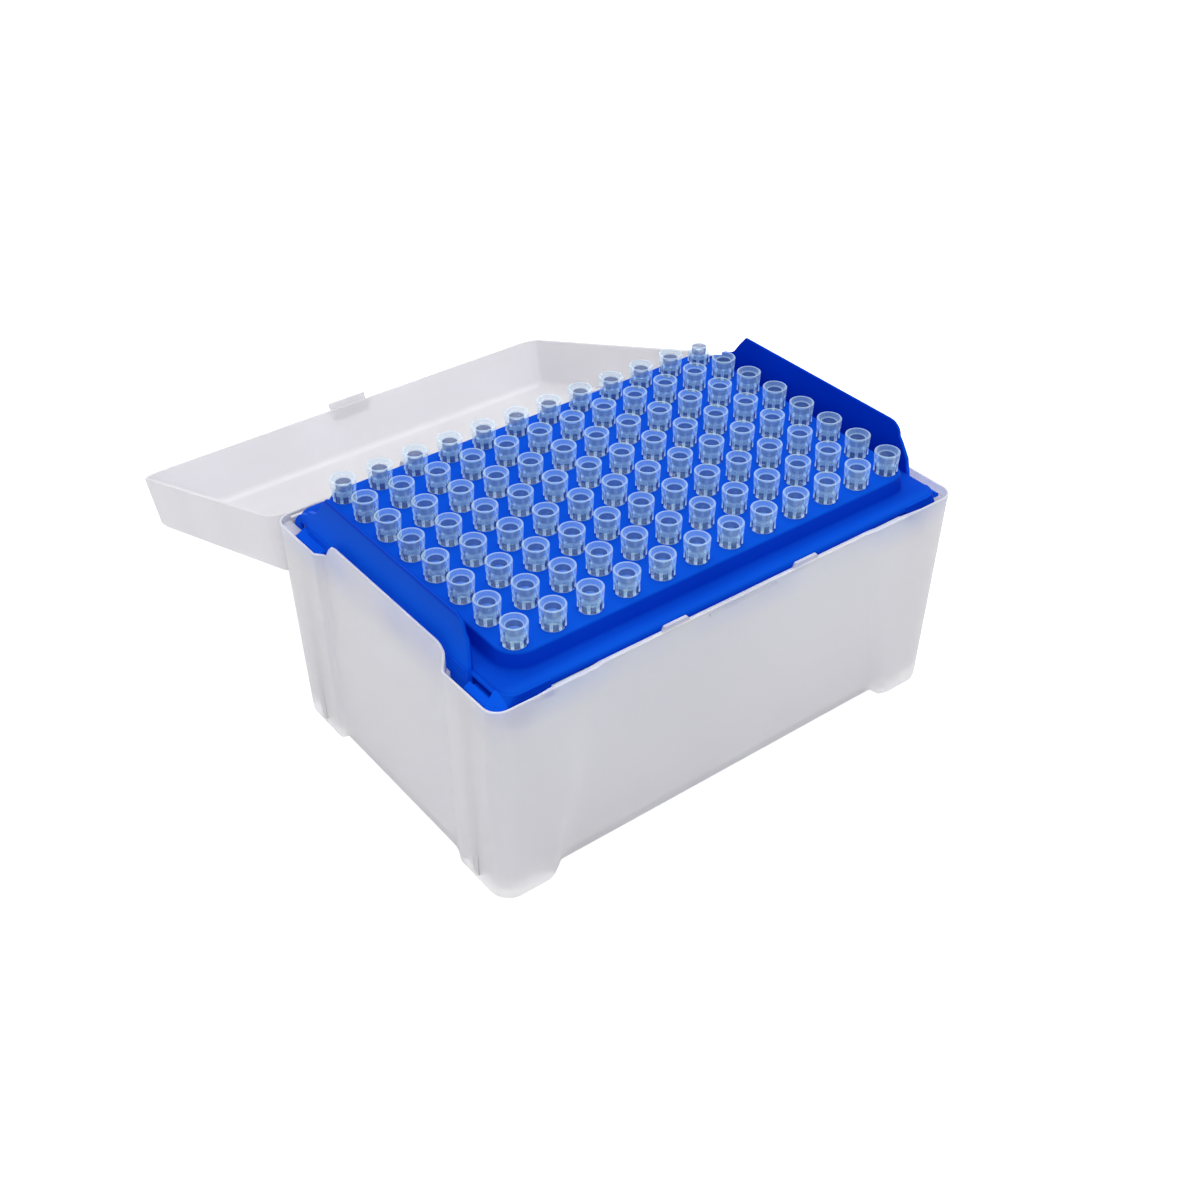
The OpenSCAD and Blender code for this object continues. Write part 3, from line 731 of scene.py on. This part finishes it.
# %% Twelve columns of eight tips
tips = []
for i in range(COLUMNS):
    column = Shape()
    for j in range(ROWS):
        column.grid(one_tip + [(i + 0.5) * PITCH - cell_x, (j + 0.5) * PITCH - cell_y, 0])
    tips.append(column.build(f"tips_{i + 1:02d}"))

# %% [markdown]
# ## Writing a finish as a sum
#
# A material is a chain of small sums. Wiring them node by node is hard to read, so
# the class below wraps one socket and lets Python write the sums: a + b adds one
# Math node. Any other node comes from the recipe's node method, and the methods after
# it are the few patterns that all finishes here are built from.


# %% Sockets that can be added and multiplied
class Value:
    """One output socket of a shader node; every operator adds a Math node behind it."""

    def __init__(self, recipe, socket):
        self.recipe, self.socket = recipe, socket

    def __add__(self, other):
        return self.recipe.sum("ADD", self, other)

    def __sub__(self, other):
        return self.recipe.sum("SUBTRACT", self, other)

    def __rsub__(self, other):
        return self.recipe.sum("SUBTRACT", other, self)

    def __mul__(self, other):
        return self.recipe.sum("MULTIPLY", self, other)

    def __abs__(self):
        return self.recipe.sum("ABSOLUTE", self, 0)

    __radd__, __rmul__ = __add__, __mul__


class Recipe:
    """The node tree of a material or a world, with the shader at its end ready to be fed."""

    def __init__(self, owner, shader="Principled BSDF", **constants):
        owner.use_nodes = True
        self.owner, self.tree = owner, owner.node_tree
        self.shader = self.tree.nodes[shader]
        self.feed(self.shader, constants)

    def feed(self, node, inputs):
        """Sets or links the named sockets of a node."""
        for name, value in inputs.items():
            socket = node.inputs[name]
            if isinstance(value, Value):
                self.tree.links.new(value.socket, socket)
            else:
                socket.default_value = value

    def node(self, kind, settings, inputs, output=0):
        """Adds a node: its settings first, then its sockets; gives one output as a Value."""
        node = self.tree.nodes.new("ShaderNode" + kind)
        for name, value in settings.items():
            setattr(node, name, value)
        self.feed(node, inputs)
        return Value(self, node.outputs[output])

    def sum(self, operation, a, b):
        """One Math node on two values."""
        return self.node("Math", {"operation": operation}, {0: a, 1: b})

    def place(self, scale=(1, 1, 1)):
        """Object coordinates in metres, stretched by a scale for each axis."""
        spot = self.node("TexCoord", {}, {}, "Object")
        return self.node("Mapping", {}, {"Vector": spot, "Scale": scale})

    def noise(self, where, scale, detail):
        """Soft random grain between 0 and 1, finer with scale and richer with detail."""
        return self.node("TexNoise", {}, {"Vector": where, "Scale": scale, "Detail": detail})

    def ramp(self, value, low, high):
        """0 at low, 1 at high, straight between."""
        return self.node("MapRange", {"clamp": True},
                         {"Value": value, "From Min": low, "From Max": high})

    def blend(self, share, one, other):
        """A colour between two colours."""
        return self.node("Mix", {"data_type": "RGBA"}, {0: share, 6: one, 7: other}, 2)

    def parts(self, vector):
        """The x, y and z of a vector as three values."""
        return [self.node("SeparateXYZ", {}, {"Vector": vector}, axis) for axis in "XYZ"]

    def upward(self):
        """How far a face looks up: 1 for a floor, 0 for a wall."""
        return self.parts(self.node("NewGeometry", {}, {}, "Normal"))[2]

    def bump(self, height, strength, depth):
        """Raises the surface by height times depth metres."""
        return self.node("Bump", {}, {"Height": height, "Strength": strength, "Distance": depth})

    def seen(self):
        """1 where a surface is looked at, straight, in a mirror or through glass; else 0."""
        direct, mirrored, through = (
            self.node("LightPath", {}, {}, f"Is {kind} Ray")
            for kind in ("Camera", "Glossy", "Transmission"))
        return self.ramp(direct + mirrored + through, 0, 1)


def rgb(red, green, blue):
    """An opaque colour."""
    return (red, green, blue, 1)


BLACK, WHITE = rgb(0, 0, 0), rgb(1, 1, 1)


# %% [markdown]
# ## Frosted polypropylene
#
# The box and lid are uncoloured polypropylene from a mould with an etched face. Such
# a wall scatters light, so it looks like ground glass: pale, slightly grey and with
# a soft sheen. A glass shader with a rough surface gives the glow of what lies
# behind it. I keep part of the wall opaque, because the real one hides what is more
# than a few millimetres behind. A fine grain of bumps is the etched face, and long
# faint streaks are the lines in which the melt flowed.


# %% Frosted finish
POLYPROPYLENE_IOR = 1.49


def frosted(name, colour, clearer, rough, rim_painted_highlight=0.0, painted_blue_through=0.0):
    """Frosted plastic. After the colour come how much light passes, the roughness, the strength of
    a painted white highlight that glows on faces looking up at the rim's level, and how much
    painted blue, standing in for the rack's blue seen through the wall, lies above 44 mm."""
    recipe = Recipe(bpy.data.materials.new(name), **{
        "IOR": POLYPROPYLENE_IOR, "Transmission Weight": clearer,
        "Specular IOR Level": 0.3, "Emission Strength": rim_painted_highlight})
    spot = recipe.place()
    height = recipe.parts(spot)[2]
    grain = recipe.noise(spot, scale=2600.0, detail=3.0)
    flow = recipe.noise(recipe.place((60, 60, 7)), scale=1.0, detail=3.0)
    cloud = recipe.noise(spot, scale=38.0, detail=2.0)
    shade = recipe.ramp(flow * 0.6 + cloud * 0.4, 0.3, 0.7)
    plain = recipe.blend(shade, rgb(*(c * 0.95 for c in colour)), rgb(*colour))
    # Painted blue: in patches above 44 mm the wall's colour turns blue, standing in for the rack's
    # blue light shining through it.
    patches = recipe.ramp(cloud * 0.7 + flow * 0.3, 0.38, 0.62)
    behind = recipe.ramp(height, 44.0 * MM, 51.0 * MM) * patches * painted_blue_through
    # Painted highlight: faces that look up at the rim's level glow white.
    edge = recipe.ramp(height, (RIM_Z - 0.6) * MM, (RIM_Z - 0.3) * MM)
    edge = edge * recipe.ramp(recipe.upward(), 0.3, 0.8)
    recipe.feed(recipe.shader, {
        "Emission Color": recipe.blend(edge, BLACK, WHITE),
        "Base Color": recipe.blend(behind, plain, rgb(0.50, 0.62, 0.96)),
        "Roughness": rough + grain * 0.10 + cloud * 0.06,
        "Normal": recipe.bump(grain + flow * 0.8, strength=0.25, depth=0.04 * MM),
    })
    return recipe.owner


frosted_base = frosted("frosted base", (0.97, 0.96, 0.99), 0.50, 0.30, rim_painted_highlight=0.16, painted_blue_through=0.4)
frosted_lid = frosted("frosted lid", (0.96, 0.95, 0.99), 0.30, 0.42)

# %% [markdown]
# ## Blue rack
#
# The rack is the same plastic with a strong blue pigment and a satin mould face.
# Pigmented plastic looks deeper where it stands upright, because there it is lit mostly by
# blue light from its own flat faces. Here that is painted light and shade in the colour: a
# lighter blue on faces that look up and on the outside of the wings, a darker one on upright
# faces, blended by how far a face looks up, in place of many extra light bounces.


# %% Blue finish
def rack_blue():
    """Blue plastic with painted light: a lit blue on faces that look up and on the outside of the
    wings, painted shade on upright faces, in the trough of the flange and along the top of the
    wings, and a painted glow low on the outside of the wings."""
    recipe = Recipe(bpy.data.materials.new("blue rack"), **{
        "IOR": POLYPROPYLENE_IOR, "Specular IOR Level": 0.01, "Emission Strength": 0.22})
    spot = recipe.place()
    across, along, height = recipe.parts(spot)
    wave = recipe.noise(spot, scale=160.0, detail=2.0)
    grain = recipe.noise(spot, scale=1900.0, detail=3.0)
    flow = recipe.noise(recipe.place((40, 40, 14)), scale=1.0, detail=3.0)
    tone = recipe.ramp(flow, 0.3, 0.7)
    outside = recipe.ramp(abs(across), 57.6 * MM, 57.9 * MM)
    # Painted shade: the trough of the flange, next to the foot of the deck wall, is darkened.
    open_flange = recipe.ramp(abs(along), 37.0 * MM, 39.2 * MM)
    above_flange = recipe.ramp(height, 53.3 * MM, 53.8 * MM)
    trough = (1 - open_flange) * (1 - above_flange) * 0.35
    # Painted shade along the top of the wings.
    wing_top_shade = recipe.ramp(height, 63.0 * MM, 63.8 * MM) * 0.8
    # Painted light and shade: faces that look up and the outer faces of the wings get the lit
    # blue, upright faces the shaded blue.
    painted_lit_share = recipe.ramp(recipe.upward() + outside * 0.9 - trough - wing_top_shade, 0.15, 0.95)
    lit_blue = recipe.blend(tone, rgb(0.002, 0.080, 0.66), rgb(0.003, 0.094, 0.72))
    shaded_blue = recipe.blend(tone, rgb(0.0002, 0.036, 0.54), rgb(0.0005, 0.044, 0.60))
    # Painted light: the lower outer face of each wing glows blue, lifting the shade it gets near
    # the base.
    low_wing_painted_glow = outside * (1 - recipe.ramp(height, 54.0 * MM, 62.0 * MM))
    recipe.feed(recipe.shader, {
        "Base Color": recipe.blend(painted_lit_share, shaded_blue, lit_blue),
        "Emission Color": recipe.blend(low_wing_painted_glow, BLACK, rgb(0.002, 0.08, 0.66)),
        "Roughness": 0.34 + grain * 0.10 + wave * 0.05,
        "Normal": recipe.bump(wave + grain * 0.12, strength=0.2, depth=0.1 * MM),
    })
    return recipe.owner


blue_rack = rack_blue()

# %% [markdown]
# ## Clear tips
#
# A tip is a clear wall less than a millimetre thick, too thin to bend the view much.
# What the eye reads is where the wall turns edge-on or ends: those places gather
# light and look white. So the shader is a pale plastic whose cover (Alpha) is low
# face-on and higher edge-on, and higher still on the lip, the rim of the bore and the
# feet of the ribs. The white on these places is a painted highlight in the colour, the
# bore and the gaps between the ribs get painted shade, as any deep narrow hole looks dark,
# and a weak glow of the same colour stands in for the tent's light that the plastic gathers.

# %% Clear finish
tip_recipe = Recipe(bpy.data.materials.new("clear tip"), **{
    "IOR": 1.5, "Specular IOR Level": 0.35, "Emission Strength": 0.26})
spot = tip_recipe.place()
x, y, z = tip_recipe.parts(spot)
# Distance from the axis of the nearest tip: a ping-pong wave gives it along x and along y
half = PITCH / 2 * MM
from_x, from_y = (half - tip_recipe.sum("PINGPONG", side, half) for side in (x, y))
out = tip_recipe.sum("POWER", from_x * from_x + from_y * from_y, 0.5)
depth = TIP_Z * MM - z
edge_on = tip_recipe.node("LayerWeight", {}, {"Blend": 0.5}, "Facing")
milk = tip_recipe.noise(spot, scale=420.0, detail=2.0)


def band(value, low, high, soft=0.12):
    """1 between low and high millimetres, fading out over soft millimetres."""
    begun = tip_recipe.ramp(value, (low - soft) * MM, low * MM)
    return begun * (1 - tip_recipe.ramp(value, high * MM, (high + soft) * MM))


lip = band(depth, -1, 0.1) * band(out, 2.45, 4)
bore_rim = band(depth, 0.8, 1.0) * band(out, 1, 1.85)
bore = band(depth, 1.15, 2.4, 0.3) * band(out, 0, 1.75)
rib = band(depth, 2.5, 5.0) * band(out, 2.40, 4, 0.05)
foot = band(depth, 4.3, 5.1, 0.4) * band(out, 2.40, 4, 0.05)
between = band(depth, 3.6, 5.0, 0.3) * band(out, 2.2, 2.34, 0.05)
# Painted highlight: the lip, the rim of the bore, the feet of the ribs and faces seen edge-on are
# painted white-blue.
painted_highlight = lip * 0.4 + bore_rim * 0.3 + foot * 0.5 + edge_on * edge_on * 0.5
# Painted shade: the bore and the gaps between the ribs are painted dark blue and made more opaque.
painted_shade = bore * 0.85 + between
cover = 0.10 + milk * 0.06 + edge_on * edge_on * 0.30 + lip * 0.18 + bore_rim * 0.18
cover = cover + rib * 0.10 + foot * 0.28 + bore * 0.6 + between * 0.45
pale, highlight_white_blue, bore_shade_colour = rgb(0.44, 0.73, 0.96), rgb(0.80, 0.94, 1.0), rgb(0.005, 0.02, 0.20)
painted_tip_colour = tip_recipe.blend(tip_recipe.ramp(painted_highlight, 0, 1), pale, highlight_white_blue)
painted_tip_colour = tip_recipe.blend(tip_recipe.ramp(painted_shade, 0, 1), painted_tip_colour, bore_shade_colour)
# Painted light: the tip's colour also glows weakly, standing in for the tent's light that the
# clear plastic gathers.
tip_recipe.feed(tip_recipe.shader, {
    "Base Color": painted_tip_colour,
    "Emission Color": painted_tip_colour,
    "Roughness": 0.12 + milk * 0.08,
    "Alpha": tip_recipe.ramp(cover, 0, 1),
    "Normal": tip_recipe.bump(milk, strength=0.15, depth=0.05 * MM),
})
clear_tip = tip_recipe.owner

# %% [markdown]
# ## Handing each piece to its body
#
# A piece is made of one finish. It rides on the body that carries it, the box or
# the lid, and takes the place of the plain measured part of the same name.

# %% Give every piece its finish and body
finishes = [
    ([base_shell, base_fittings], "base", "box", frosted_base, "frosted_base"),
    ([lid_shell, lid_latch], "lid", "lid", frosted_lid, "frosted_lid"),
    ([rack_tray, rack_ends], "rack", "box", blue_rack, "blue_rack"),
]
finishes += [([tip], f"tips_column_{i + 1:02d}", "box", clear_tip, "clear_tip")
             for i, tip in enumerate(tips)]
for pieces, node, body, material, slot_name in finishes:
    for piece in pieces:
        piece.data.materials.append(material)
        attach(piece, body)
        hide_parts(node)
    print(node, "on", body, "as", [piece.name for piece in pieces], "in", slot_name)

# %% [markdown]
# ## Studio
#
# The box stands on a white table in a white light tent, the usual way to show pale
# plastic. The world is the tent, one wide lamp overhead gives the deck its
# brightness, and the table shows a faint contact shadow. A lamp bright enough to make
# table and tent white would wash out the plastic, so both are brighter only where
# they are looked at, straight, in a mirror or through glass.

# %% Table and tent
TABLE_REACH, TABLE_GLOW, TENT_LIGHT = 3.0, 0.72, 0.55
table_mesh = bpy.data.meshes.new("table")
corners = [(-1, -1, 0), (1, -1, 0), (1, 1, 0), (-1, 1, 0)]
table_mesh.from_pydata((np.array(corners) * TABLE_REACH).tolist(), [], [(0, 1, 2, 3)])
table = bpy.data.objects.new("table", table_mesh)
bpy.context.scene.collection.objects.link(table)
table_recipe = Recipe(bpy.data.materials.new("white table"), **{
    "Base Color": rgb(0.9, 0.9, 0.9), "Roughness": 0.9, "Specular IOR Level": 0.1,
    "Emission Color": WHITE})
table_recipe.feed(table_recipe.shader, {"Emission Strength": table_recipe.seen() * TABLE_GLOW})
table_mesh.materials.append(table_recipe.owner)

tent = Recipe(bpy.data.worlds.new("light tent"), "Background", Color=WHITE)
tent.feed(tent.shader, {"Strength": tent.seen() * (1 - TENT_LIGHT) + TENT_LIGHT})
bpy.context.scene.world = tent.owner


# %% Lamps
def softbox(name, place, aim, size, watts):
    """A square lamp at place, pointing at aim."""
    light = bpy.data.lights.new(name, "AREA")
    light.shape, light.size, light.energy = "SQUARE", size, watts
    lamp = bpy.data.objects.new(name, light)
    bpy.context.scene.collection.objects.link(lamp)
    lamp.location = place
    lamp.rotation_euler = (Vector(aim) - Vector(place)).to_track_quat("-Z", "Y").to_euler()
    print(name, "lamp of", watts, "W,", size, "m wide")


softbox("overhead", (0.1, 0.15, 0.9), (0, 0, 0.05), 0.9, 4.5)
softbox("front", (-0.5, -0.8, 0.5), (0, 0, 0.03), 0.7, 1.5)

# %% [markdown]
# ## Camera
#
# The camera stands in front of the box and to the left, and looks down on the deck.
# Its direction is written as the angle to the right of the Y axis and the angle above
# the horizon, which a person can picture more easily than a rotation in three axes.

# %% Camera
CAMERA_PLACE, LENS_MM, SENSOR_MM = (-0.1836, -0.2332, 0.2474), 48.78, 36.0
AZIMUTH, ELEVATION, ROLL = np.radians([37.44, -36.72, -0.19])
level = np.cos(ELEVATION)
look = Vector((np.sin(AZIMUTH) * level, np.cos(AZIMUTH) * level, np.sin(ELEVATION)))
turn = look.to_track_quat("-Z", "Y") @ Matrix.Rotation(ROLL, 3, "Z").to_quaternion()
lens = bpy.data.cameras.new("camera")
lens.lens, lens.sensor_width = LENS_MM, SENSOR_MM
camera = bpy.data.objects.new("camera", lens)
bpy.context.scene.collection.objects.link(camera)
camera.location = CAMERA_PLACE
camera.rotation_mode = "QUATERNION"
camera.rotation_quaternion = turn
bpy.context.scene.camera = camera
bpy.context.scene.view_settings.view_transform = "Standard"
print("camera looks along", [round(v, 3) for v in look])
